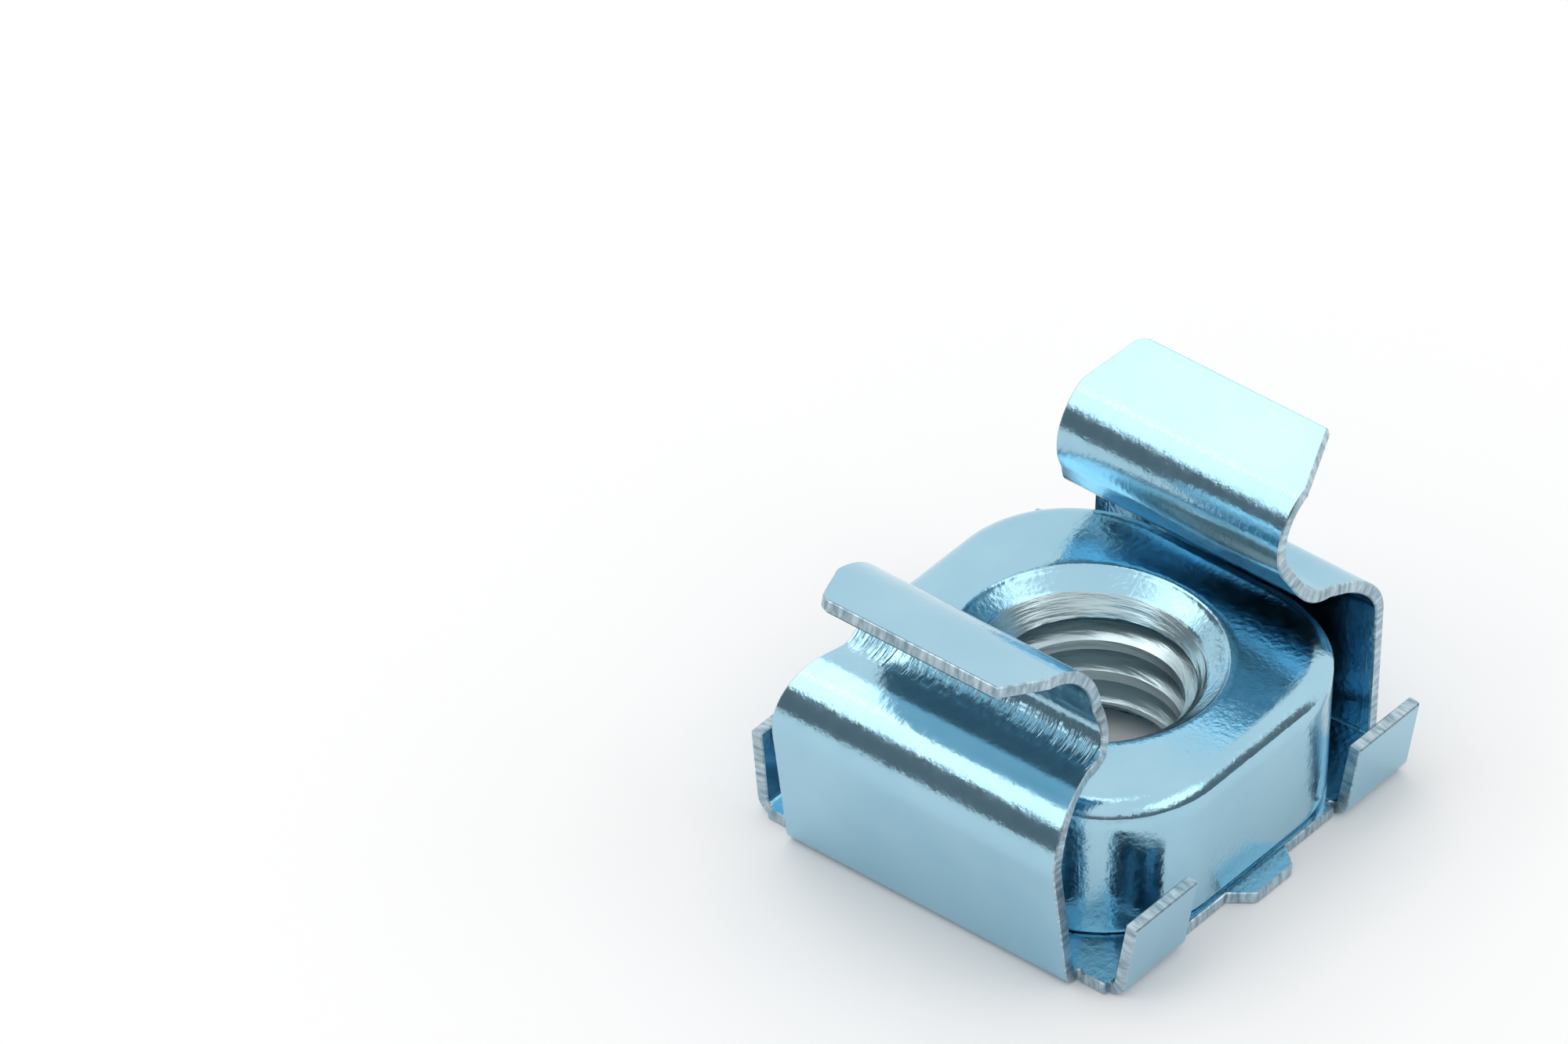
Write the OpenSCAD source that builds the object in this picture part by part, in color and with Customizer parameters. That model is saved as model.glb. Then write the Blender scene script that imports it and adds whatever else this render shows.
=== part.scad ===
// Rack cage nut: a square M6 nut held loosely in a cage folded from one spring-steel sheet.
// The thread's axis is Z, the base of the cage rests on z = 0, and its two lugs stand at
// -X (front, leaning outward) and +X (rear, upright).

/* [Nut] */
// Width of the nut across its flats
nut_w = 10.9; // [9.6:0.1:13.2]
// Thickness of the nut
nut_h = 4.15; // [3.4:0.05:5]
// Radius of the nut's four upright corners
nut_corner_r = 3.5; // [2.5:0.1:4.2]
// Width of the bevel round the top of the nut, seen from above
bevel_w = 0.6; // [0.2:0.05:1]
// Drop of that bevel
bevel_drop = 0.35; // [0.15:0.05:0.6]
// Size of the bevel round the bottom of the nut
foot_bevel = 0.2; // [0.1:0.05:0.4]
// Minor diameter of the thread, the size that is drilled
thread_bore = 5; // [4.2:0.1:5.4]
// Nominal diameter of the thread, which the bottom chamfer opens to
thread_d = 6; // [5.6:0.1:6.6]
// Diameter of the lead-in where it meets the top of the nut
mouth_d = 7.2; // [6.8:0.1:8.6]
// Diameter of the ridge between the two slopes of the lead-in
ridge_d = 6.1; // [5.8:0.1:6.6]
// Depth of that ridge
ridge_depth = 0.45; // [0.2:0.05:0.8]
// Depth at which the lead-in runs out into the bore
throat_depth = 1.15; // [0.9:0.05:1.6]

/* [Cage] */
// Thickness of the sheet
sheet_t = 0.35; // [0.25:0.05:0.6]
// Gap between the nut's flats and the corner tabs
tab_gap = 0.1; // [0.05:0.05:0.4]
// Inside radius of the bend at the foot of each side wall
foot_bend_r = 0.1; // [0.1:0.05:0.4]
// Width of the side walls, which has to pass a 9.5 mm square hole
wall_w = 9; // [7.5:0.1:9.4]
// Width that the side walls narrow to at the end of their shoulders
shoulder_w = 8.7; // [7:0.1:9]
// Width of each lug where it steps in from its shoulder
lug_w = 8.2; // [7:0.1:8.6]
// Width of each lug where its flare begins
flare_w = 7.1; // [6:0.1:8]
// Width of each lug at its tip
tip_w = 5.9; // [4.5:0.1:6.9]
// Diameter of the clearance hole through the base
base_hole_d = 6.7; // [6.2:0.1:8]
// Width of the narrow notches that free the bends from the base
relief_w = 0.15; // [0.1:0.05:0.3]

/* [Front lug] */
// Gap between the nut and the foot of the front wall, in which the nut floats
front_gap = 0.75; // [0.3:0.05:1.2]
// Outward lean of the front wall, in degrees
front_lean = 11.5; // [0:0.5:16]
// Length of its straight part
front_wall_run = 3.65; // [3:0.05:5]
// Inside radius of the bend from wall to shoulder
front_shoulder_bend_r = 1.3; // [0.5:0.05:1.4]
// Angle by which the shoulder rises over a square bend, in degrees
front_shoulder_rise = -6.5; // [-10:0.5:20]
// Length of the flat shoulder
front_shoulder_run = 0.6; // [0.3:0.05:1.6]
// Inside radius of the bend from shoulder to neck
front_neck_bend_r = 0.9; // [0.6:0.05:1.8]
// Length of the straight neck
front_neck_run = 0.05; // [0.05:0.05:1.2]
// Slope of the neck away from the wall's direction, in degrees
front_neck_slope = 0.5; // [0:0.5:35]
// Inside radius of the bend from neck to flare
front_flare_bend_r = 2.4; // [0.6:0.05:2.8]
// Rise of the flared tip from square to the wall, in degrees
front_flare_rise = 22.5; // [10:0.5:40]
// Length of the straight flare
front_flare_run = 1.5; // [1:0.05:2.5]

/* [Rear lug] */
// Gap between the nut and the foot of the rear wall, in which the nut floats
rear_gap = 0.7; // [0.3:0.05:1.2]
// Outward lean of the rear wall, in degrees
rear_lean = 0; // [0:0.5:16]
// Length of its straight part
rear_wall_run = 3.9; // [3:0.05:5]
// Inside radius of the bend from wall to shoulder
rear_shoulder_bend_r = 0.9; // [0.5:0.05:1.4]
// Angle by which the shoulder rises over a square bend, in degrees
rear_shoulder_rise = 7; // [-10:0.5:20]
// Length of the flat shoulder
rear_shoulder_run = 0.45; // [0.3:0.05:1.6]
// Inside radius of the bend from shoulder to neck
rear_neck_bend_r = 1.4; // [0.6:0.05:1.8]
// Length of the straight neck
rear_neck_run = 0.75; // [0.05:0.05:1.2]
// Slope of the neck away from the wall's direction, in degrees
rear_neck_slope = 30; // [0:0.5:35]
// Inside radius of the bend from neck to flare
rear_flare_bend_r = 1.3; // [0.6:0.05:2.8]
// Rise of the flared tip from square to the wall, in degrees
rear_flare_rise = 22; // [10:0.5:40]
// Length of the straight flare
rear_flare_run = 1.8; // [1:0.05:2.5]

/* [Tabs and tongues] */
// Height of the outer face of the corner tabs above the resting plane
tab_top = 2.4; // [1.6:0.1:3.2]
// Width of each corner tab
tab_w = 2.55; // [1.8:0.05:3]
// Distance from the middle of the cage to the outer edge of a tab
tab_reach = 5.95; // [5.6:0.05:6.5]
// Outward lean of the tabs, in degrees
tab_lean = 8; // [0:1:12]
// Inside radius of the bend at the foot of each tab
tab_bend_r = 0.15; // [0.1:0.05:0.4]
// Width of the sill of base that shows past the nut between two tabs
sill = 0.1; // [0.05:0.05:0.4]
// Distance that each tongue stands out past the sill
tongue_reach = 0.6; // [0.3:0.05:1]
// Width of each tongue at its end
tongue_w = 1.5; // [1:0.1:2.4]
// Slope of the tongue's two sides, as sideways spread from end to root
tongue_spread = 0.5; // [0.2:0.1:0.8]
// Radius of the tongue's two corners
tongue_r = 0.2; // [0.1:0.05:0.4]

/* [Hidden] */
$fn = 96;
// Angle between two points of a bend's outline, in degrees
arc_step = 6;
// Length by which a side wall's strip laps into the flat base
base_lap = 0.5;

// Half of the nut, and where the middle of a corner radius lies
nut_half = nut_w / 2;
corner_at = nut_half - nut_corner_r;

// Distance from the middle to the end of the flat base at the foot of each side wall
front_base = nut_half + front_gap - foot_bend_r;
rear_base = nut_half + rear_gap - foot_bend_r;
// Edge of the base between two tabs
sill_y = nut_half + sill;
// Inner edge of a tab, the root of its strip, and the line where it bends up
tab_inner_x = tab_reach - tab_w;
tab_root_y = wall_w / 2 + relief_w;
tab_bend_y = nut_half + tab_gap - tab_bend_r * cos(tab_lean);
tab_outer_r = tab_bend_r + sheet_t;
tab_run = (tab_top - tab_outer_r * (1 - sin(tab_lean))) / cos(tab_lean);

// Points of an arc round a centre, from one angle to another
function arc(centre, r, from, to) =
    let (n = max(1, ceil(abs(to - from) / arc_step)))
    [for (i = [0 : n]) let (a = from + (to - from) * i / n) centre + r * [cos(a), sin(a)]];

// A folded strip is a list of steps. [length, 0] runs straight on, and [inside radius, turn]
// bends by that many degrees, to the left where the turn is positive. The path is the outer
// face of the base, so the sheet lies on its left. A state is [point, heading].
function path_r(step) = step[1] > 0 ? step[0] + sheet_t : -step[0];
function left_of(heading) = [-sin(heading), cos(heading)];
function after(state, step) =
    step[1] == 0
    ? [state[0] + step[0] * [cos(state[1]), sin(state[1])], state[1]]
    : [state[0] + path_r(step) * (left_of(state[1]) - left_of(state[1] + step[1])),
       state[1] + step[1]];
function end_state(state, steps, i = 0) =
    i == len(steps) ? state : end_state(after(state, steps[i]), steps, i + 1);

// Points of one face of a strip, which lies the given depth to the left of the path
function face_points(state, steps, depth, i = 0) =
    i == len(steps) ? [state[0] + depth * left_of(state[1])]
    : let (step = steps[i], turn = step[1], centre = state[0] + path_r(step) * left_of(state[1]))
      concat(
          turn == 0 ? [state[0] + depth * left_of(state[1])]
          : turn > 0 ? arc(centre, path_r(step) - depth, state[1] - 90, state[1] - 90 + turn)
          : arc(centre, depth - path_r(step), state[1] + 90, state[1] + 90 + turn),
          face_points(after(state, step), steps, depth, i + 1));

function reversed(list) = [for (i = [len(list) - 1 : -1 : 0]) list[i]];

// Section of a folded strip that starts at the given point, heading along +X
module strip_section(start, steps) {
    polygon(concat(face_points([start, 0], steps, 0),
                   reversed(face_points([start, 0], steps, sheet_t))));
}

// Steps of a side wall and its lug: up the wall and over its shoulder, from there through the
// neck to the flare, and on to the tip
function wall_steps(lean, wall_run, bend_r, rise, shoulder_run) = [
    [base_lap, 0],
    [foot_bend_r, 90 - lean],
    [wall_run, 0],
    [bend_r, 90 - rise],
    [shoulder_run, 0]
];
function neck_steps(rise, neck_r, slope, neck_run, flare_r, flare_rise) = [
    [neck_r, rise + slope - 90],
    [neck_run, 0],
    [flare_r, flare_rise - slope - 90]
];
front_wall = wall_steps(front_lean, front_wall_run, front_shoulder_bend_r,
                        front_shoulder_rise, front_shoulder_run);
front_neck = neck_steps(front_shoulder_rise, front_neck_bend_r, front_neck_slope,
                        front_neck_run, front_flare_bend_r, front_flare_rise);
rear_wall = wall_steps(rear_lean, rear_wall_run, rear_shoulder_bend_r,
                       rear_shoulder_rise, rear_shoulder_run);
rear_neck = neck_steps(rear_shoulder_rise, rear_neck_bend_r, rear_neck_slope,
                       rear_neck_run, rear_flare_bend_r, rear_flare_rise);

// Outline of a side wall and its lug seen along X. It steps in above the shoulder, and narrows
// from there to the flare and on to the tip.
module wall_outline(bend_z, shoulder_z, flare_z, tip_z) {
    right = [
        [wall_w / 2, 0],
        [wall_w / 2, bend_z],
        [shoulder_w / 2, shoulder_z],
        [lug_w / 2, shoulder_z],
        [flare_w / 2, flare_z],
        [tip_w / 2, tip_z]
    ];
    polygon(concat(right, reversed([for (p = right) [-p[0], p[1]]])));
}

// One side wall with its lug, on the +X side, from the end of the flat base
module side_wall(base_end, wall, wall_run, neck, flare_run) {
    start = [base_end - base_lap, 0];
    wall_end = end_state([start, 0], wall);
    neck_end = end_state(wall_end, neck);
    tip_end = after(neck_end, [flare_run, 0]);
    intersection() {
        rotate([90, 0, 0]) linear_extrude(height = wall_w, center = true)
            strip_section(start, concat(wall, neck, [[flare_run, 0]]));
        rotate([90, 0, 90]) linear_extrude(height = 2 * base_end)
            wall_outline(wall_run, wall_end[0][1] + sheet_t, neck_end[0][1],
                         tip_end[0][1] + sheet_t);
    }
}

// One corner tab, on the +X and +Y side, with the strip of base that carries it
module tab() {
    translate([tab_inner_x, 0, 0])
        rotate([90, 0, 90]) linear_extrude(height = tab_w)
            strip_section([tab_root_y, 0], [
                [tab_bend_y - tab_root_y, 0],
                [tab_bend_r, 90 - tab_lean],
                [tab_run, 0]
            ]);
}

// Outline of one tongue on the +Y side, a trapezium with two rounded corners
module tongue_outline() {
    end_y = sill_y + tongue_reach;
    slope = atan2(tongue_reach, tongue_spread);
    // The corner circle touches the end of the tongue and its sloping side
    corner = [tongue_w / 2 - tongue_r * tan(slope / 2), end_y - tongue_r];
    right = concat([[tongue_w / 2 + tongue_spread, sill_y]],
                   arc(corner, tongue_r, 90 - slope, 90));
    polygon(concat(right, reversed([for (p = right) [-p[0], p[1]]])));
}

// Flat base with its tongues, the notches that free the bends, and the clearance hole
module base_outline() {
    difference() {
        union() {
            translate([-front_base, -tab_bend_y])
                square([front_base + rear_base, 2 * tab_bend_y]);
            square([2 * tab_inner_x, 2 * sill_y], center = true);
            tongue_outline();
            mirror([0, 1]) tongue_outline();
        }
        circle(d = base_hole_d);
        for (turn = [0, 1]) mirror([0, turn]) {
            side_notches(rear_base);
            mirror([1, 0]) side_notches(front_base);
        }
    }
}

// Notch beside the bend of one tab, and notch beside the foot of the side wall next to it
module side_notches(base_end) {
    translate([tab_inner_x - relief_w / 2, tab_bend_y]) notch(sill_y);
    translate([base_end, tab_root_y - relief_w / 2]) circle(d = relief_w);
}

// Narrow slot with a round end at the origin, open along +Y
module notch(length) {
    circle(d = relief_w);
    translate([-relief_w / 2, 0]) square([relief_w, length]);
}

module cage() {
    color("lightsteelblue") {
        linear_extrude(height = sheet_t) base_outline();
        side_wall(rear_base, rear_wall, rear_wall_run, rear_neck, rear_flare_run);
        mirror([1, 0, 0])
            side_wall(front_base, front_wall, front_wall_run, front_neck, front_flare_run);
        for (turn_x = [0, 1], turn_y = [0, 1])
            mirror([turn_x, 0, 0]) mirror([0, turn_y, 0]) tab();
    }
}

// Half section of the nut's edge, out to the given reach, with its two bevels
module edge_section(reach) {
    polygon([
        [0, 0],
        [reach - foot_bevel, 0],
        [reach, foot_bevel],
        [reach, nut_h - bevel_drop],
        [reach - bevel_w, nut_h],
        [0, nut_h]
    ]);
}

// The nut's middle, drawn out along Y between two pairs of corners
module nut_bar() {
    rotate([90, 0, 0]) linear_extrude(height = 2 * corner_at, center = true) {
        edge_section(nut_half);
        mirror([1, 0]) edge_section(nut_half);
    }
}

// Bore with a lead-in of two slopes at the top and a chamfer at the bottom
module threaded_bore() {
    bore_r = thread_bore / 2;
    rotate_extrude()
        polygon([
            [0, 0],
            [thread_d / 2, 0],
            [bore_r, thread_d / 2 - bore_r],
            [bore_r, nut_h - throat_depth],
            [ridge_d / 2, nut_h - ridge_depth],
            [mouth_d / 2, nut_h],
            [0, nut_h]
        ]);
}

module nut() {
    color([0.66, 0.75, 0.86])
        translate([0, 0, sheet_t])
            difference() {
                union() {
                    nut_bar();
                    rotate(90) nut_bar();
                    for (x = [-corner_at, corner_at], y = [-corner_at, corner_at])
                        translate([x, y, 0]) rotate_extrude() edge_section(nut_corner_r);
                }
                threaded_bore();
            }
}

cage();
nut();
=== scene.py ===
"""Rack cage nut: a square M6 nut held loosely in a cage folded from one sheet of spring steel."""
import math

import bmesh
import bpy
from mathutils import Euler, Matrix, Vector
from mathutils.geometry import delaunay_2d_cdt


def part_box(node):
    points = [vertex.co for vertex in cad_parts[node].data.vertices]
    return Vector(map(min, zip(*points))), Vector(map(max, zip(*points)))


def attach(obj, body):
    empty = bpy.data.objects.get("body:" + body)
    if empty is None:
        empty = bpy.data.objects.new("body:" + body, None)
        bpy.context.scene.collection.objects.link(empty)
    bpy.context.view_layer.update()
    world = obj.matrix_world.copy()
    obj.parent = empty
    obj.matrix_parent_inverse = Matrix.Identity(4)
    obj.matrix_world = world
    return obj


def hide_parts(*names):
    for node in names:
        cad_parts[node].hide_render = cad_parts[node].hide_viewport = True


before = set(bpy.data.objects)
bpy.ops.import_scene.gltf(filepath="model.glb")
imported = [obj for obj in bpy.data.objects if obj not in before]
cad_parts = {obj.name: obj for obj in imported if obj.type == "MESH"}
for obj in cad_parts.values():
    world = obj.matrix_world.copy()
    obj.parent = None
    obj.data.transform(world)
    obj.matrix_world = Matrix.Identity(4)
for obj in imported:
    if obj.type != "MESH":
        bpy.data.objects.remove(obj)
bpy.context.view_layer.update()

MM = 0.001

# ------------------------------------------------------------------ sizes, in millimetres
NUT_LOW, NUT_HIGH = [Vector(corner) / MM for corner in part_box("nut")]

# The nut
NUT_HALF = NUT_HIGH.x
NUT_H = NUT_HIGH.z - NUT_LOW.z
CORNER_R = 3.5
BEVEL_W = 0.6
BEVEL_DROP = 0.35
FOOT_BEVEL = 0.2
MOUTH_R = 3.6
RIDGE_R = 3.05
RIDGE_DEPTH = 0.45
THROAT_DEPTH = 1.15
MOUTH_LIP = 0.05
FOOT_LIP = 0.05
RIDGE_EASE = 0.08

# Its thread, M6 with a right-hand pitch of 1 mm
THREAD_R = 3.0
BORE_R = 2.5
PITCH = 1.0
CREST_W = 0.3
ROOT_W = 0.875
# How far the ridge's root is sunk in the bore's wall, and how far the cut may push it there
ROOT_LAP = 0.06
CUT_LAP = 0.1
# How far the ridge's end stands above the nut's underside
FOOT_CLEAR = 0.02

# The sheet and the flat base
SHEET_T = NUT_LOW.z
WALL_HALF = 4.5
FOOT_R = 0.1
HOLE_R = 3.35
RELIEF_W = 0.15
FRONT_BASE = NUT_HALF + 0.65
REAR_BASE = NUT_HALF + 0.6

# The lugs: half width behind the shoulder, how high the neck starts to narrow above it, and the
# rounded corner of the tip
LUG_HALF = 3.9
NECK_HEEL = 0.2
TIP_CORNER_R = 0.4

# The corner tabs and the tongues
TAB_TOP = 2.4
TAB_W = 2.55
TAB_REACH = 5.95
TAB_LEAN = 8
TAB_BEND_R = 0.15
TAB_BEND_Y = NUT_HALF + 0.1 - TAB_BEND_R * math.cos(math.radians(TAB_LEAN))
TAB_INNER = TAB_REACH - TAB_W
SILL_Y = NUT_HALF + 0.1
TONGUE_REACH = 0.6
TONGUE_HALF = 0.75
TONGUE_SPREAD = 0.5
TONGUE_R = 0.2

# Rounding of the sheet's sheared edges, and the least cosine of a mitre at their corners
SHEARED_R = 0.035
LEAST_MITRE = 0.6

# Fineness of the meshes: columns of a side wall and a tab, rings round the nut, and the thread's
# points a turn and round its profile
COLUMNS = 60
TAB_COLUMNS = 16
AROUND = 384
HELIX_POINTS = 160
PROFILE_POINTS = 64
# An edge that turns by more than this is shaded sharp
SHARP_ANGLE = math.radians(38)


class Lug:
    """Sizes of one side wall and its lug. Bends are inside radii, and angles are in degrees.

    The shoulder and the flare are each a bend, a rise and a run, and the neck is a bend, a run and
    a slope. The halves are the half widths where the flare starts and at its tip."""

    def __init__(self, side, base, lean, wall, shoulder, neck, flare, halves):
        self.side, self.base, self.lean, self.wall = side, base, lean, wall
        self.shoulder_r, self.shoulder_rise, self.shoulder_run = shoulder
        self.neck_r, self.neck_run, self.neck_slope = neck
        self.flare_r, self.flare_rise, self.flare_run = flare
        self.flare_half, self.tip_half = halves

    def wall_steps(self):
        return [
            (FOOT_R, 90 - self.lean),
            (self.wall, 0),
            (self.shoulder_r, 90 - self.shoulder_rise),
            (self.shoulder_run, 0),
        ]

    def neck_steps(self):
        return [
            (self.neck_r, self.shoulder_rise + self.neck_slope - 90),
            (self.neck_run, 0),
            (self.flare_r, self.flare_rise - self.neck_slope - 90),
        ]


FRONT = Lug(
    side=-1,
    base=FRONT_BASE,
    lean=11.5,
    wall=3.65,
    shoulder=(1.3, -6.5, 0.6),
    neck=(0.9, 0.05, 0.5),
    flare=(2.4, 22.5, 1.5),
    halves=(3.4, 2.8),
)
REAR = Lug(
    side=1,
    base=REAR_BASE,
    lean=0,
    wall=3.9,
    shoulder=(0.9, 7, 0.45),
    neck=(1.4, 0.75, 30),
    flare=(1.3, 22, 1.8),
    halves=(3.55, 2.95),
)


# ------------------------------------------------------------------ node helpers
def linear(hex_colour):
    """Linear RGBA of an sRGB hex colour."""
    parts = [int(hex_colour[i : i + 2], 16) / 255 for i in (1, 3, 5)]
    return [c / 12.92 if c <= 0.04045 else ((c + 0.055) / 1.055) ** 2.4 for c in parts] + [1]


def add_node(tree, kind, settings=None, inputs=None):
    """A new node with its settings. An input, by name or number, is a value or a socket to link."""
    node = tree.nodes.new(kind)
    for name, value in (settings or {}).items():
        setattr(node, name, value)
    for name, value in (inputs or {}).items():
        if isinstance(value, bpy.types.NodeSocket):
            tree.links.new(value, node.inputs[name])
        else:
            node.inputs[name].default_value = value
    return node


def direction(azimuth, elevation):
    """Unit vector at an azimuth and elevation in degrees."""
    a, e = math.radians(azimuth), math.radians(elevation)
    return Vector((math.cos(e) * math.cos(a), math.cos(e) * math.sin(a), math.sin(e)))


# ------------------------------------------------------------------ folding a sheet
def left_of(heading):
    return Vector((-math.sin(heading), math.cos(heading)))


def fold(start, steps, bend_step=3.0, run_step=0.35):
    """Stations along a folded strip, as (point on its outer face, sheet's inward normal, length)."""
    point, heading, length = Vector(start), 0.0, 0.0
    stations = [(point.copy(), left_of(heading), length)]
    for size, turn in steps:
        if turn == 0:
            count = max(1, math.ceil(size / run_step))
            for _ in range(count):
                point = point + Vector((math.cos(heading), math.sin(heading))) * size / count
                length += size / count
                stations.append((point.copy(), left_of(heading), length))
            continue
        radius = size + SHEET_T if turn > 0 else -size
        count = max(2, math.ceil(abs(turn) / bend_step))
        centre = point + left_of(heading) * radius
        for _ in range(count):
            heading += math.radians(turn) / count
            length += abs(radius) * math.radians(abs(turn)) / count
            stations.append((centre - left_of(heading) * radius, left_of(heading), length))
        point = stations[-1][0].copy()
    return stations


def arc_points(centre, radius, start, end, count):
    """Points of an arc in the plane, from one angle to another in degrees."""
    points = []
    for i in range(count + 1):
        angle = math.radians(start + (end - start) * i / count)
        x = centre[0] + radius * math.cos(angle)
        y = centre[1] + radius * math.sin(angle)
        points.append(Vector((x, y)))
    return points


class Sheet:
    """The outer face of the cage's sheet, with the way through the sheet at every point."""

    def __init__(self):
        self.places, self.inward, self.faces, self.index = [], [], [], {}

    def point(self, place, inward):
        key = tuple(round(c, 4) for c in place)
        if key not in self.index:
            self.index[key] = len(self.places)
            self.places.append(Vector(place))
            self.inward.append(Vector(inward))
        return self.index[key]

    def face(self, corners):
        distinct = list(dict.fromkeys(corners))
        if len(distinct) > 2:
            self.faces.append(distinct)

    def strip(self, rows):
        """Quads between neighbouring rows of points."""
        for low, high in zip(rows, rows[1:]):
            for i in range(len(low) - 1):
                self.face([low[i], low[i + 1], high[i + 1], high[i]])


def blend(start, end, share):
    return start + (end - start) * min(1, max(0, share))


def flare_edge(lug, along, rounded):
    """Half width of the tapered flare at a distance along it, with its tip corner rounded or not."""
    taper = math.atan2(lug.flare_half - lug.tip_half, lug.flare_run)
    edge = lug.flare_half - along * math.tan(taper)
    centre = lug.flare_run - TIP_CORNER_R
    if not rounded or along < centre + TIP_CORNER_R * math.sin(taper):
        return edge
    middle = lug.flare_half - centre * math.tan(taper) - TIP_CORNER_R / math.cos(taper)
    return middle + math.sqrt(max(0, TIP_CORNER_R**2 - (along - centre) ** 2))


def tip_steps(lug):
    """The straight flare, in steps that close up round the corner of its tip."""
    turns = [math.sin(math.radians(15 * i)) for i in range(7)]
    corner = [(TIP_CORNER_R * (b - a), 0) for a, b in zip(turns, turns[1:])]
    return [(lug.flare_run - TIP_CORNER_R, 0)] + corner


def side_wall(sheet, lug):
    """One side wall with its lug, as a strip that starts at the end of the flat base.

    It narrows over the shoulder, up the neck and along the flare."""
    bend = fold((lug.base, 0), lug.wall_steps()[:2])[-1]
    heel = fold((lug.base, 0), lug.wall_steps())[-1]
    neck = fold((lug.base, 0), lug.wall_steps() + lug.neck_steps()[:2])[-1]
    flare = fold((lug.base, 0), lug.wall_steps() + lug.neck_steps())[-1]
    rows = []
    for place, inward, length in fold(
        (lug.base, 0), lug.wall_steps() + lug.neck_steps() + tip_steps(lug)
    ):
        if length < bend[2]:
            near = far = WALL_HALF
        elif length < heel[2]:
            near = far = blend(WALL_HALF, LUG_HALF, (bend[0].x - place.x) / (bend[0].x - heel[0].x))
        elif length < flare[2]:
            low = heel[0].y + NECK_HEEL
            near = far = blend(LUG_HALF, lug.flare_half, (place.y - low) / (neck[0].y - low))
        else:
            near = flare_edge(lug, length - flare[2], False)
            far = flare_edge(lug, length - flare[2], True)
        way = (lug.side * inward.x, 0, inward.y)
        spread = [-near + (near + far) * i / COLUMNS for i in range(COLUMNS + 1)]
        rows.append([sheet.point((lug.side * place.x, y, place.y), way) for y in spread])
    sheet.strip(rows)


def corner_tab(sheet, side_x, side_y):
    """One corner tab, folded up beside the nut."""
    outer = TAB_BEND_R + SHEET_T
    lean = math.radians(TAB_LEAN)
    run = (TAB_TOP - outer * (1 - math.sin(lean))) / math.cos(lean)
    rows = []
    for place, inward, _ in fold((TAB_BEND_Y, 0), [(TAB_BEND_R, 90 - TAB_LEAN), (run, 0)]):
        way = (0, side_y * inward.x, inward.y)
        rows.append(
            [sheet.point((side_x * x, side_y * place.x, place.y), way) for x in tab_columns()]
        )
    sheet.strip(rows)


def tab_columns():
    return [TAB_INNER + TAB_W * i / TAB_COLUMNS for i in range(TAB_COLUMNS + 1)]


def base_quarter(base_end):
    """Outline of a quarter of the flat base, from the middle of a side wall to the tongue."""
    half_columns = COLUMNS // 2
    relief = RELIEF_W / 2
    points = [Vector((base_end, WALL_HALF * i / half_columns)) for i in range(half_columns + 1)]
    points += arc_points((base_end, WALL_HALF + relief), relief, -90, -270, 8)[1:]
    points.append(Vector((base_end, TAB_BEND_Y)))
    points += [Vector((x, TAB_BEND_Y)) for x in reversed(tab_columns())]
    points += arc_points((TAB_INNER - relief, TAB_BEND_Y), relief, 0, -180, 8)[1:]
    points.append(Vector((TAB_INNER - RELIEF_W, SILL_Y)))
    points.append(Vector((TONGUE_HALF + TONGUE_SPREAD, SILL_Y)))
    slope = math.degrees(math.atan2(TONGUE_REACH, TONGUE_SPREAD))
    corner = (
        TONGUE_HALF - TONGUE_R * math.tan(math.radians(slope / 2)),
        SILL_Y + TONGUE_REACH - TONGUE_R,
    )
    points += arc_points(corner, TONGUE_R, 90 - slope, 90, 8)
    return points


def flat_base(sheet):
    """The flat base between the folds, with its clearance hole."""
    rear, front = base_quarter(REAR_BASE), base_quarter(FRONT_BASE)
    outline = rear + [Vector((-p.x, p.y)) for p in reversed(front)]
    outline += [Vector((-p.x, -p.y)) for p in front] + [Vector((p.x, -p.y)) for p in reversed(rear)]
    tidy = [p for p, before in zip(outline, outline[-1:] + outline) if (p - before).length > 1e-5]
    hole = arc_points((0, 0), HOLE_R, 0, 360, 128)[:-1]
    count = len(tidy)
    edges = [(i, (i + 1) % count) for i in range(count)]
    edges += [(count + i, count + (i + 1) % len(hole)) for i in range(len(hole))]
    points, _, faces = delaunay_2d_cdt(tidy + hole, edges, [], 1, 1e-6)[:3]
    for face in faces:
        middle = sum((points[i] for i in face), Vector((0, 0))) / len(face)
        if middle.length > HOLE_R - 0.01:
            sheet.face([sheet.point((points[i].x, points[i].y, 0), (0, 0, 1)) for i in face])


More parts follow.
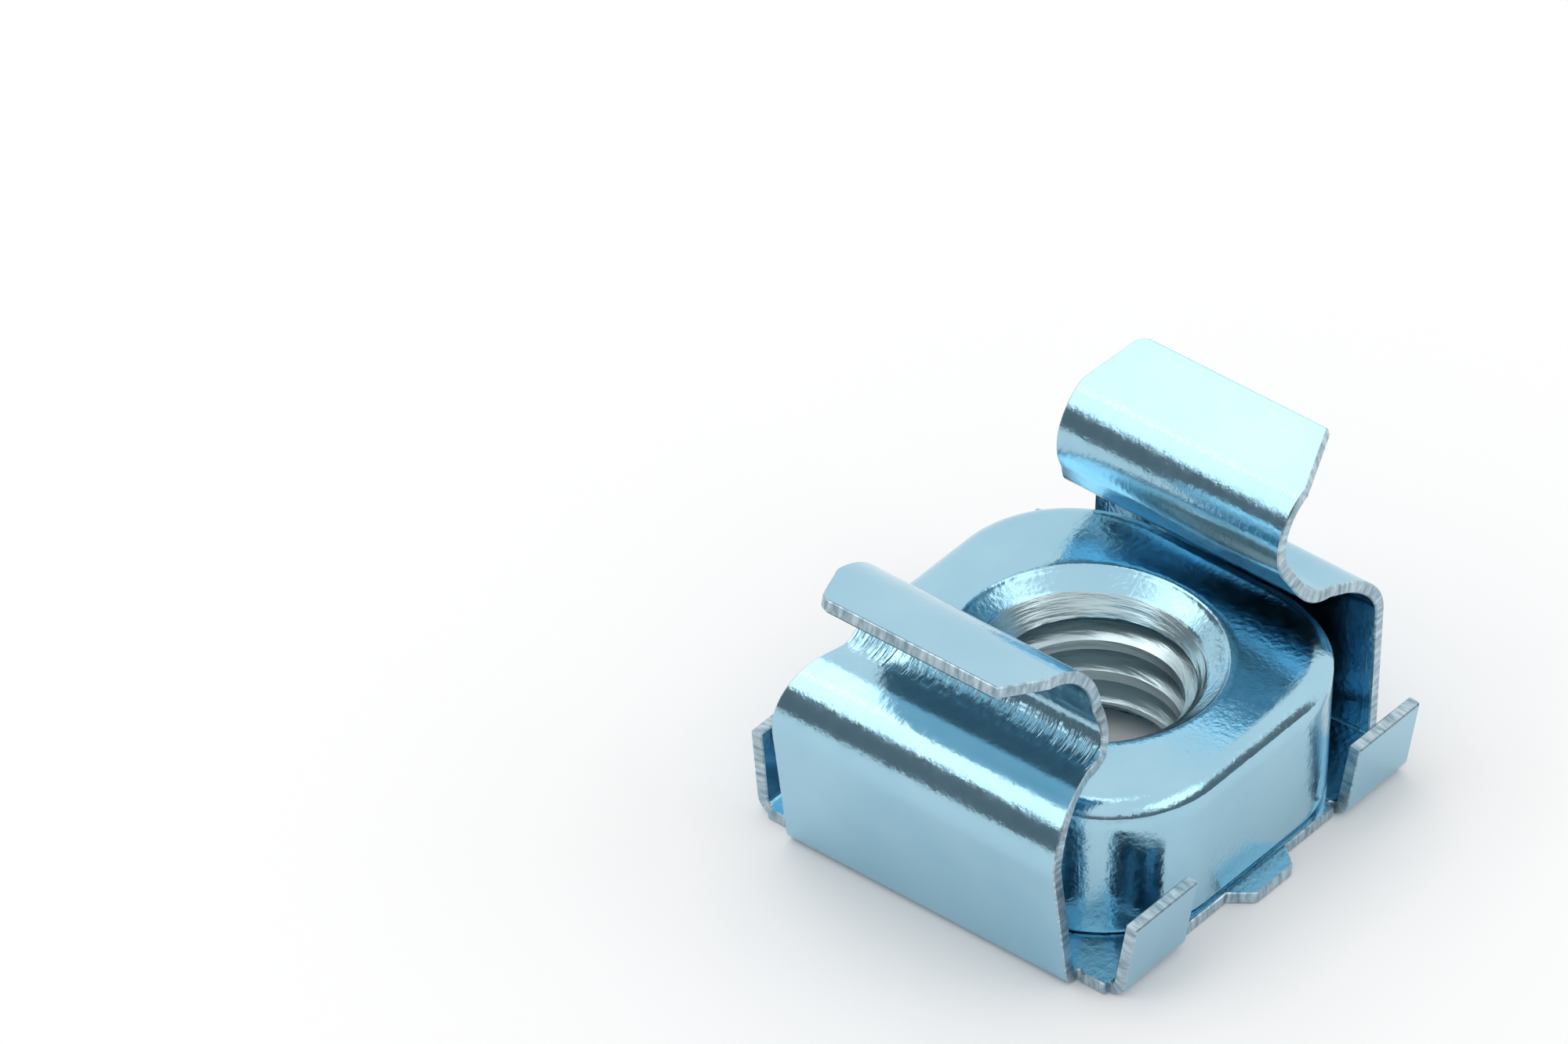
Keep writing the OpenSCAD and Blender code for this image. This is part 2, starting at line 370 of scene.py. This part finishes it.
def thicken(sheet, name):
    """The sheet with its thickness and slightly rounded sheared edges, as a mesh.

    The first material is the rolled face and the second the sheared edge. The edge's UV runs
    in millimetres along the edge and through the sheet."""
    places, inward = sheet.places, sheet.inward
    faces = []
    for face in sheet.faces:
        a, b, c = (places[i] for i in face[:3])
        outward = (b - a).cross(c - a).dot(inward[face[0]]) < 0
        faces.append(face if outward else face[::-1])
    used = {(f[i], f[(i + 1) % len(f)]) for f in faces for i in range(len(f))}
    border = [(a, b) for a, b in used if (b, a) not in used]
    following = dict(border)
    leading = {b: a for a, b in border}
    out = {}
    for i, j in following.items():
        h = leading[i]
        sides = [(places[i] - places[h]).cross(-inward[i]).normalized()]
        sides.append((places[j] - places[i]).cross(-inward[i]).normalized())
        mean = sum(sides, Vector()).normalized()
        out[i] = mean / max(LEAST_MITRE, mean.dot(sides[0]))
    mesh = bmesh.new()
    skin_out, skin_in, rim_out, rim_in = {}, {}, {}, {}
    for i, place in enumerate(places):
        pull = out[i] * SHEARED_R if i in out else Vector()
        skin_out[i] = mesh.verts.new(place - pull)
        skin_in[i] = mesh.verts.new(place + inward[i] * SHEET_T - pull)
        if i in out:
            rim_out[i] = mesh.verts.new(place + inward[i] * SHEARED_R)
            rim_in[i] = mesh.verts.new(place + inward[i] * (SHEET_T - SHEARED_R))
    for face in faces:
        mesh.faces.new([skin_out[i] for i in face])
        mesh.faces.new([skin_in[i] for i in reversed(face)])
    uv = mesh.loops.layers.uv.new("edge")
    along = edge_lengths(following, places)
    for a, b in border:
        ladder = [
            (skin_out, rim_out, 0, SHEARED_R),
            (rim_out, rim_in, SHEARED_R, SHEET_T - SHEARED_R),
            (rim_in, skin_in, SHEET_T - SHEARED_R, SHEET_T),
        ]
        span = (places[b] - places[a]).length
        for low, high, v0, v1 in ladder:
            quad = mesh.faces.new([low[b], low[a], high[a], high[b]])
            quad.material_index = 1
            corners = [(along[a] + span, v0), (along[a], v0), (along[a], v1), (along[a] + span, v1)]
            for loop, corner in zip(quad.loops, corners):
                loop[uv].uv = corner
    return finish_mesh(mesh, name)


def edge_lengths(following, places):
    """Length along each border loop up to every point on it."""
    along = {}
    for start in following:
        point, length = start, 0.0
        while point not in along:
            along[point] = length
            length += (places[following[point]] - places[point]).length
            point = following[point]
    return along


def finish_mesh(mesh, name):
    """A mesh in millimetres becomes a smooth-shaded object in metres, sharp at its creases."""
    mesh.normal_update()
    for face in mesh.faces:
        face.smooth = True
    for edge in mesh.edges:
        edge.smooth = not edge.is_manifold or edge.calc_face_angle() < SHARP_ANGLE
    bmesh.ops.scale(mesh, vec=(MM, MM, MM), verts=mesh.verts)
    data = bpy.data.meshes.new(name)
    mesh.to_mesh(data)
    mesh.free()
    piece = bpy.data.objects.new(name, data)
    bpy.context.scene.collection.objects.link(piece)
    shading = piece.modifiers.new("even shading", "WEIGHTED_NORMAL")
    shading.keep_sharp = True
    shading.weight = 100
    return piece


def cage():
    sheet = Sheet()
    flat_base(sheet)
    side_wall(sheet, FRONT)
    side_wall(sheet, REAR)
    for side_x in (-1, 1):
        for side_y in (-1, 1):
            corner_tab(sheet, side_x, side_y)
    piece = thicken(sheet, "folded_cage")
    piece.data.materials.append(passivated_zinc("zinc on rolled spring steel", 1.0, True))
    piece.data.materials.append(sheared_zinc())
    return piece


# ------------------------------------------------------------------ the nut
def square_reach(angle, inset):
    """Distance from the axis to the nut's rounded outline, drawn in by the inset."""
    quarter = math.pi / 2
    angle = (angle + quarter / 2) % quarter - quarter / 2
    side = NUT_HALF - inset
    middle = NUT_HALF - CORNER_R
    cosine, sine = math.cos(angle), abs(math.sin(angle))
    if side * sine <= middle * cosine:
        return side / cosine
    total = middle * (cosine + sine)
    return total + math.sqrt(total**2 - 2 * middle**2 + (CORNER_R - inset) ** 2)


def square_ring(inset):
    return lambda angle: square_reach(angle, inset)


def round_ring(radius):
    return lambda angle: radius


def blend_ring(inset, radius, share):
    return lambda angle: square_reach(angle, inset) * (1 - share) + radius * share


def nut_rings():
    """Rings of the nut from the bottom of its bore round the outside and back down the bore."""
    rings = [(round_ring(THREAD_R + FOOT_LIP), 0), (square_ring(FOOT_BEVEL), 0)]
    # The rounded foot, the flat sides and the bevel, which is an arc that meets the top face level
    for i in range(1, 7):
        turn = math.pi / 2 * i / 6
        inset = FOOT_BEVEL * (1 - math.sin(turn))
        rings.append((square_ring(inset), FOOT_BEVEL * (1 - math.cos(turn))))
    sides_h = NUT_H - BEVEL_DROP - FOOT_BEVEL
    for i in range(1, 9):
        rings.append((square_ring(0), FOOT_BEVEL + sides_h * i / 8))
    roll_r = (BEVEL_W**2 + BEVEL_DROP**2) / (2 * BEVEL_DROP)
    steepest = math.acos((roll_r - BEVEL_DROP) / roll_r)
    for i in range(1, 15):
        turn = steepest * (1 - i / 14)
        inset = BEVEL_W - roll_r * math.sin(turn)
        rings.append((square_ring(inset), NUT_H - roll_r * (1 - math.cos(turn))))
    # The top face, the eased edge of the mouth and the lead-in
    for i in range(1, 11):
        rings.append((blend_ring(BEVEL_W, MOUTH_R + MOUTH_LIP, i / 10), NUT_H))
    rings.append((round_ring(MOUTH_R), NUT_H - MOUTH_LIP * 0.4))
    rings.append((round_ring(MOUTH_R - MOUTH_LIP * 0.8), NUT_H - MOUTH_LIP * 1.2))
    for i in range(1, 9):
        radius = MOUTH_R + (RIDGE_R - MOUTH_R) * i / 8
        rings.append((round_ring(radius), NUT_H - MOUTH_LIP - (RIDGE_DEPTH - MOUTH_LIP) * i / 8))
    # The bore's wall, which carries the thread
    wall_h = NUT_H - RIDGE_DEPTH - RIDGE_EASE
    for i in range(9):
        rings.append((round_ring(THREAD_R), wall_h * (1 - i / 8)))
    return rings


def nut_body():
    mesh = bmesh.new()
    rows = []
    for reach, height in nut_rings():
        row = []
        for i in range(AROUND):
            angle = 2 * math.pi * i / AROUND
            radius = reach(angle)
            place = (radius * math.cos(angle), radius * math.sin(angle), NUT_LOW.z + height)
            row.append(mesh.verts.new(place))
        rows.append(row)
    for low, high in zip(rows, rows[1:] + rows[:1]):
        for i in range(AROUND):
            j = (i + 1) % AROUND
            mesh.faces.new([low[i], low[j], high[j], high[i]])
    bmesh.ops.remove_doubles(mesh, verts=mesh.verts, dist=1e-6)
    bmesh.ops.recalc_face_normals(mesh, faces=mesh.faces)
    return finish_mesh(mesh, "square_nut")


def thread_tree():
    """Geometry Nodes that sweep the thread's ridge up a helix and cut it back to both chamfers."""
    root_r, crest_r = (THREAD_R + ROOT_LAP) * MM, BORE_R * MM
    foot_z, mouth_z = NUT_LOW.z * MM, (NUT_HIGH.z - RIDGE_DEPTH) * MM
    turns = NUT_H / PITCH + 1
    tree = bpy.data.node_groups.new("thread ridge", "GeometryNodeTree")
    tree.interface.new_socket("Geometry", in_out="OUTPUT", socket_type="NodeSocketGeometry")
    tree.interface.new_socket("Material", in_out="INPUT", socket_type="NodeSocketMaterial")
    given = add_node(tree, "NodeGroupInput").outputs

    # The helix, and the ridge's profile, turned so that its crest points to the axis
    helix = add_node(tree, "GeometryNodeCurveSpiral", None, {
        "Resolution": HELIX_POINTS,
        "Rotations": turns,
        "Start Radius": crest_r,
        "End Radius": crest_r,
        "Height": turns * PITCH * MM,
        "Reverse": False,
    })
    upright = add_node(
        tree, "GeometryNodeSetCurveNormal", {"mode": "Z_UP"}, {"Curve": helix.outputs["Curve"]}
    )
    shape = add_node(tree, "GeometryNodeCurvePrimitiveQuadrilateral", {"mode": "TRAPEZOID"}, {
        "Height": root_r - crest_r,
        "Bottom Width": ROOT_W * MM,
        "Top Width": CREST_W * MM,
        "Offset": 0.0,
    })
    finer = add_node(tree, "GeometryNodeResampleCurve", None, {
        "Curve": shape.outputs["Curve"],
        "Count": PROFILE_POINTS,
    })
    profile = add_node(tree, "GeometryNodeTransform", None, {
        "Geometry": finer.outputs["Curve"],
        "Rotation": Euler((0, 0, math.radians(-90))),
        "Translation": ((crest_r - root_r) / 2, 0, 0),
    })
    swept = add_node(tree, "GeometryNodeCurveToMesh", None, {
        "Curve": upright.outputs["Curve"],
        "Profile Curve": profile.outputs[0],
        "Fill Caps": True,
    })
    lifted = add_node(tree, "GeometryNodeTransform", None, {
        "Geometry": swept.outputs["Mesh"],
        "Translation": (0, 0, foot_z - PITCH / 2 * MM),
    })

    # Every point stays outside the cones of the two chamfers and between their ends
    place = add_node(tree, "GeometryNodeInputPosition").outputs[0]
    height = add_node(tree, "ShaderNodeSeparateXYZ", None, {"Vector": place}).outputs["Z"]
    level = {0: place, 1: (1, 1, 0)}
    flat = add_node(tree, "ShaderNodeVectorMath", {"operation": "MULTIPLY"}, level).outputs[0]
    radius = add_node(tree, "ShaderNodeVectorMath", {"operation": "LENGTH"}, {0: flat}).outputs["Value"]
    mouth_slope = (RIDGE_R - BORE_R) / (THROAT_DEPTH - RIDGE_DEPTH)
    mouth_cone = {0: height, 1: mouth_slope, 2: RIDGE_R * MM - mouth_slope * mouth_z}
    foot_cone = {0: height, 1: -1.0, 2: THREAD_R * MM + foot_z}
    mouth = add_node(tree, "ShaderNodeMath", {"operation": "MULTIPLY_ADD"}, mouth_cone).outputs[0]
    foot = add_node(tree, "ShaderNodeMath", {"operation": "MULTIPLY_ADD"}, foot_cone).outputs[0]
    share = radius
    for operation, term in (
        ("MAXIMUM", mouth),
        ("MAXIMUM", foot),
        ("MINIMUM", root_r + CUT_LAP * MM),
        ("DIVIDE", radius),
    ):
        pair = {0: share, 1: term}
        share = add_node(tree, "ShaderNodeMath", {"operation": operation}, pair).outputs[0]
    ends = {"Value": height, "Min": foot_z + FOOT_CLEAR * MM, "Max": mouth_z}
    clamped = add_node(tree, "ShaderNodeClamp", None, ends).outputs[0]
    raised = add_node(tree, "ShaderNodeCombineXYZ", None, {"Z": clamped}).outputs[0]
    moved = {0: flat, 1: share, 2: raised}
    target = add_node(tree, "ShaderNodeVectorMath", {"operation": "MULTIPLY_ADD"}, moved).outputs[0]
    cut = add_node(tree, "GeometryNodeSetPosition", None, {
        "Geometry": lifted.outputs[0],
        "Position": target,
    })
    real = add_node(tree, "GeometryNodeRealizeInstances", None, {"Geometry": cut.outputs[0]})
    finish = add_node(tree, "GeometryNodeSetMaterial", None, {
        "Geometry": real.outputs[0],
        "Material": given["Material"],
    })
    add_node(tree, "NodeGroupOutput", None, {"Geometry": finish.outputs[0]})
    return tree


def thread_ridge(material):
    """The helical ridge inside the bore, baked from its node tree."""
    tree = thread_tree()
    host = bpy.data.objects.new("thread_maker", bpy.data.meshes.new("thread_maker"))
    bpy.context.scene.collection.objects.link(host)
    maker = host.modifiers.new("thread", "NODES")
    maker.node_group = tree
    for item in tree.interface.items_tree:
        if item.name == "Material":
            maker[item.identifier] = material
    seen = host.evaluated_get(bpy.context.evaluated_depsgraph_get())
    data = bpy.data.meshes.new_from_object(seen)
    bpy.data.objects.remove(host)
    mesh = bmesh.new()
    mesh.from_mesh(data)
    bmesh.ops.scale(mesh, vec=(1 / MM, 1 / MM, 1 / MM), verts=mesh.verts)
    bmesh.ops.recalc_face_normals(mesh, faces=mesh.faces)
    piece = finish_mesh(mesh, "nut_thread")
    piece.data.materials.append(material)
    return piece


# ------------------------------------------------------------------ materials
# Zinc plate. Widths and heights in millimetres of its crystals, its patches of unlike gloss, its
# slow waves, its scratches and the stretch marks of the front lug
CRYSTAL_W = 0.09
CRYSTAL_H = 0.009
PATCH_W = 0.2
WAVE_W = 1.1
WAVE_H = 0.008
SCRATCH_W = 0.05
SCRATCH_H = 0.002
STRAIN_W = 0.07
STRAIN_H = 0.035
# Where the stretch marks lie: the middle of the front lug's valley, and their reach from it
VALLEY_MIDDLE = (-4.85, 0, 6.25)
VALLEY_REACH = {"X": 0.45, "Z": 0.35}
# The sheared edge: its tears a millimetre along it, their height, and the grit
TEARS_PER_MM = 7.0
TEAR_H = 0.02
GRIT_W = 0.05
GRIT_H = 0.004
# The cut thread's turning lines
TURNING_W = 0.9
TURNING_H = 0.03


def noise_scale(width_mm):
    """Scale of a noise texture whose features are about the given width in millimetres."""
    return 0.5 / (width_mm * MM)


def new_material(name, kind, inputs):
    """A material with one shader, and its tree and shader to build on."""
    material = bpy.data.materials.new(name)
    material.use_nodes = True
    tree = material.node_tree
    tree.nodes.clear()
    shader = add_node(tree, kind, None, inputs)
    add_node(tree, "ShaderNodeOutputMaterial", None, {"Surface": shader.outputs[0]})
    return material, tree, shader


def two_tones(tree, pattern, start, end, dark, pale):
    """A colour that turns from dark to pale as the pattern goes from start to end."""
    share = add_node(tree, "ShaderNodeMapRange", None, {
        "Value": pattern,
        "From Min": start,
        "From Max": end,
    })
    # Inputs 6 and 7 and output 2 are the node's colours
    colours = {0: share.outputs["Result"], 6: linear(dark), 7: linear(pale)}
    return add_node(tree, "ShaderNodeMix", {"data_type": "RGBA"}, colours).outputs[2]


def passivated_zinc(name, grain, strained=False):
    """Bright zinc plate with a blue passivation film: glossy pale blue with a fine grain.

    The real crystals are a few hundredths of a millimetre. They are drawn 0.09 mm across, so
    that they show as a fine speckle along the edges of what the metal reflects."""
    material, tree, shader = new_material(name, "ShaderNodeBsdfPrincipled", {"Metallic": 1.0})
    place = add_node(tree, "ShaderNodeTexCoord").outputs["Object"]
    # Long in X and Z and short in Y, so the scratches run square to the lugs' tips
    drawn = add_node(tree, "ShaderNodeMapping", None, {
        "Vector": place,
        "Scale": (0.06, 1.0, 0.06),
    }).outputs[0]
    patterns = {}
    for pattern, width, detail, where in (
        ("crystals", CRYSTAL_W, 4.0, place),
        ("patches", PATCH_W, 2.0, place),
        ("waves", WAVE_W, 2.0, place),
        ("scratches", SCRATCH_W, 1.0, drawn),
    ):
        patterns[pattern] = add_node(tree, "ShaderNodeTexNoise", None, {
            "Vector": where,
            "Scale": noise_scale(width),
            "Detail": detail,
        }).outputs["Fac"]
    tint = two_tones(tree, patterns["waves"], 0.3, 0.7, "#9FCADD", "#A8D0E1")
    rough = add_node(tree, "ShaderNodeMapRange", None, {
        "Value": patterns["patches"],
        "From Min": 0.3,
        "From Max": 0.7,
        "To Min": 0.13,
        "To Max": 0.21,
    }).outputs["Result"]
    lines = add_node(tree, "ShaderNodeMapRange", None, {
        "Value": patterns["scratches"],
        "From Min": 0.62,
        "From Max": 0.72,
    }).outputs["Result"]
    layers = [
        (patterns["waves"], WAVE_H, 1.0),
        (patterns["crystals"], CRYSTAL_H * grain, 1.0),
        (lines, SCRATCH_H, 0.6),
    ]
    if strained:
        layers.append((strain_marks(tree, place), STRAIN_H, 1.0))
    tree.links.new(tint, shader.inputs["Base Color"])
    tree.links.new(rough, shader.inputs["Roughness"])
    tree.links.new(relief(tree, layers), shader.inputs["Normal"])
    return material


def relief(tree, layers):
    """The normal after layers of bump, each a pattern with its height in millimetres and strength."""
    under = {}
    for pattern, height, strength in layers:
        inputs = {"Height": pattern, "Distance": height * MM, "Strength": strength, **under}
        under = {"Normal": add_node(tree, "ShaderNodeBump", None, inputs).outputs["Normal"]}
    return under["Normal"]


def strain_marks(tree, place):
    """Pattern of the stretch marks that the bend left across the front lug's valley."""
    across = add_node(tree, "ShaderNodeMapping", None, {
        "Vector": place,
        "Scale": (0.1, 1.0, 0.1),
    }).outputs[0]
    ridges = add_node(tree, "ShaderNodeTexNoise", None, {
        "Vector": across,
        "Scale": noise_scale(STRAIN_W),
        "Detail": 3.0,
    }).outputs["Fac"]
    marks = add_node(tree, "ShaderNodeMapRange", None, {
        "Value": ridges,
        "From Min": 0.42,
        "From Max": 0.62,
    }).outputs["Result"]
    # They fade out over the last two fifths of their reach from the middle of the valley
    middle = {0: place, 1: [c * MM for c in VALLEY_MIDDLE]}
    offset = add_node(tree, "ShaderNodeVectorMath", {"operation": "SUBTRACT"}, middle).outputs[0]
    size = add_node(tree, "ShaderNodeVectorMath", {"operation": "ABSOLUTE"}, {0: offset}).outputs[0]
    away = add_node(tree, "ShaderNodeSeparateXYZ", None, {"Vector": size}).outputs
    for axis, reach in VALLEY_REACH.items():
        inside = add_node(tree, "ShaderNodeMapRange", None, {
            "Value": away[axis],
            "From Min": reach * 0.6 * MM,
            "From Max": reach * MM,
            "To Min": 1.0,
            "To Max": 0.0,
        }).outputs["Result"]
        both = {0: marks, 1: inside}
        marks = add_node(tree, "ShaderNodeMath", {"operation": "MULTIPLY"}, both).outputs[0]
    return marks


def sheared_zinc():
    """The plated edge where the sheet was sheared: torn across its thickness, dull and pale."""
    material, tree, shader = new_material("zinc on a sheared edge", "ShaderNodeBsdfPrincipled", {
        "Metallic": 1.0,
        "Roughness": 0.38,
    })
    across = add_node(tree, "ShaderNodeUVMap", {"uv_map": "edge"}).outputs["UV"]
    stretched = add_node(tree, "ShaderNodeMapping", None, {
        "Vector": across,
        "Scale": (1.0, 0.25, 1.0),
    }).outputs[0]
    tears = add_node(tree, "ShaderNodeTexNoise", None, {
        "Vector": stretched,
        "Scale": TEARS_PER_MM,
        "Detail": 4.0,
    }).outputs["Fac"]
    place = add_node(tree, "ShaderNodeTexCoord").outputs["Object"]
    grit = add_node(tree, "ShaderNodeTexNoise", None, {
        "Vector": place,
        "Scale": noise_scale(GRIT_W),
    }).outputs["Fac"]
    tint = two_tones(tree, tears, 0.3, 0.65, "#7F9BA8", "#C6D9E2")
    tree.links.new(tint, shader.inputs["Base Color"])
    torn = relief(tree, [(tears, TEAR_H, 1.0), (grit, GRIT_H, 1.0)])
    tree.links.new(torn, shader.inputs["Normal"])
    return material


def cut_thread_zinc():
    """Zinc on the cut thread: greyer, with fine turning lines round the bore."""
    material, tree, shader = new_material("zinc on a cut thread", "ShaderNodeBsdfPrincipled", {
        "Metallic": 1.0,
        "Base Color": linear("#B9CDD2"),
        "Roughness": 0.24,
    })
    place = add_node(tree, "ShaderNodeTexCoord").outputs["Object"]
    flat = add_node(tree, "ShaderNodeMapping", None, {
        "Vector": place,
        "Scale": (1.0, 1.0, 12.0),
    }).outputs[0]
    lines = add_node(tree, "ShaderNodeTexNoise", None, {
        "Vector": flat,
        "Scale": noise_scale(TURNING_W),
        "Detail": 5.0,
    }).outputs["Fac"]
    tree.links.new(relief(tree, [(lines, TURNING_H, 1.0)]), shader.inputs["Normal"])
    return material


def white_paper():
    """Matt white paper under the object."""
    return new_material("white paper", "ShaderNodeBsdfPrincipled", {
        "Base Color": linear("#F6F6F6"),
        "Roughness": 0.7,
    })[0]


def grey_card():
    """Evenly lit grey card."""
    return new_material("grey card", "ShaderNodeEmission", {"Color": linear("#767B80")})[0]


# ------------------------------------------------------------------ studio
FLOOR_R = 400
# The dark card: its radius, bottom and top, and where it starts and ends round Z in degrees
CARD_R = 60
CARD_BOTTOM = 0.2
CARD_TOP = 42
CARD_START = 95
CARD_END = 318
CARD_STEPS = 64
# Strength of the room's light on the object, where 1 is the white of the background
ROOM_LIGHT = 0.84
# The lamps: azimuth and elevation in degrees, sizes in metres, and the brightness of their faces
LAMP_DISTANCE = 0.6
LAMPS = {
    "overhead light": (88, 66, 0.42, 0.42, 1.0),
    "left light": (135, 46, 0.5, 0.28, 0.9),
    "right light": (-70, 45, 0.4, 0.28, 0.9),
}


def studio_floor():
    """A plain white sheet, large enough to fill the view."""
    mesh = bmesh.new()
    bmesh.ops.create_circle(mesh, cap_ends=True, segments=96, radius=FLOOR_R)
    floor = finish_mesh(mesh, "floor")
    floor.modifiers.clear()
    floor.data.materials.append(white_paper())


def dark_card():
    """A dark card bent round the near side of the object, seen only in its reflections.

    It gives the bends of the metal their slate-grey bands."""
    mesh = bmesh.new()
    rows = []
    for height in (CARD_BOTTOM, CARD_TOP):
        arc = arc_points((0, 0), CARD_R, CARD_START, CARD_END, CARD_STEPS)
        rows.append([mesh.verts.new((point.x, point.y, height)) for point in arc])
    for i in range(CARD_STEPS):
        mesh.faces.new([rows[0][i], rows[0][i + 1], rows[1][i + 1], rows[1][i]])
    card = finish_mesh(mesh, "dark_card")
    card.modifiers.clear()
    card.data.materials.append(grey_card())
    card.visible_camera = False
    card.visible_diffuse = False
    card.visible_shadow = False


def softbox(name, azimuth, elevation, width, height, brightness):
    """A rectangular soft light at a direction from the object, facing it."""
    way = direction(azimuth, elevation)
    data = bpy.data.lights.new(name, "AREA")
    data.shape = "RECTANGLE"
    data.size = width
    data.size_y = height
    data.energy = brightness * math.pi * width * height
    lamp = bpy.data.objects.new(name, data)
    lamp.location = way * LAMP_DISTANCE
    lamp.rotation_euler = way.to_track_quat("Z", "Y").to_euler()
    bpy.context.scene.collection.objects.link(lamp)


def studio_air():
    """The white room. Camera and reflections see it white, and it lights the object evenly."""
    world = bpy.data.worlds.new("white room")
    bpy.context.scene.world = world
    world.use_nodes = True
    tree = world.node_tree
    tree.nodes.clear()
    path = add_node(tree, "ShaderNodeLightPath").outputs
    either = {0: path["Is Camera Ray"], 1: path["Is Glossy Ray"]}
    seen = add_node(tree, "ShaderNodeMath", {"operation": "MAXIMUM"}, either).outputs[0]
    strength = add_node(tree, "ShaderNodeMapRange", None, {
        "Value": seen,
        "To Min": ROOM_LIGHT,
        "To Max": 1.0,
    }).outputs["Result"]
    glow = add_node(tree, "ShaderNodeBackground", None, {
        "Color": (1, 1, 1, 1),
        "Strength": strength,
    })
    add_node(tree, "ShaderNodeOutputWorld", None, {"Surface": glow.outputs[0]})


def studio():
    studio_floor()
    dark_card()
    studio_air()
    for name, lamp in LAMPS.items():
        softbox(name, *lamp)


# ------------------------------------------------------------------ camera
# Where it stands as seen from the origin, and its roll, in degrees
CAMERA_AZIMUTH = -143.04
CAMERA_ELEVATION = 38.61
CAMERA_ROLL = 2.13
# Its distance, and its shift to the left and up in its own frame, which put the object off centre
CAMERA_DISTANCE = 466.85
CAMERA_LEFT = 7.609
CAMERA_UP = 6.830
CAMERA_LENS = 420.2
CAMERA_SENSOR = 36


def camera():
    """The camera, far off with a long lens, looking down on a table."""
    toward = direction(CAMERA_AZIMUTH, CAMERA_ELEVATION)
    roll = math.radians(CAMERA_ROLL)
    level = (-toward).cross(Vector((0, 0, 1))).normalized()
    upright = level.cross(-toward)
    right = math.cos(roll) * level + math.sin(roll) * upright
    up = -math.sin(roll) * level + math.cos(roll) * upright
    place = (toward * CAMERA_DISTANCE - right * CAMERA_LEFT + up * CAMERA_UP) * MM
    data = bpy.data.cameras.new("camera")
    data.sensor_width = CAMERA_SENSOR
    data.lens = CAMERA_LENS
    data.clip_start = 0.05
    data.clip_end = 5
    eye = bpy.data.objects.new("camera", data)
    eye.matrix_world = Matrix.Translation(place) @ Matrix((right, up, toward)).transposed().to_4x4()
    bpy.context.scene.collection.objects.link(eye)
    bpy.context.scene.camera = eye


# ------------------------------------------------------------------ the whole
camera()
studio()
bpy.context.scene.view_settings.view_transform = "Standard"

cage_piece = cage()
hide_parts("cage")
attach(cage_piece, "root")

nut_piece = nut_body()
nut_piece.data.materials.append(passivated_zinc("zinc on pressed steel", 1.4))
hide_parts("nut")
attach(nut_piece, "root")

thread_piece = thread_ridge(cut_thread_zinc())
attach(thread_piece, "root")
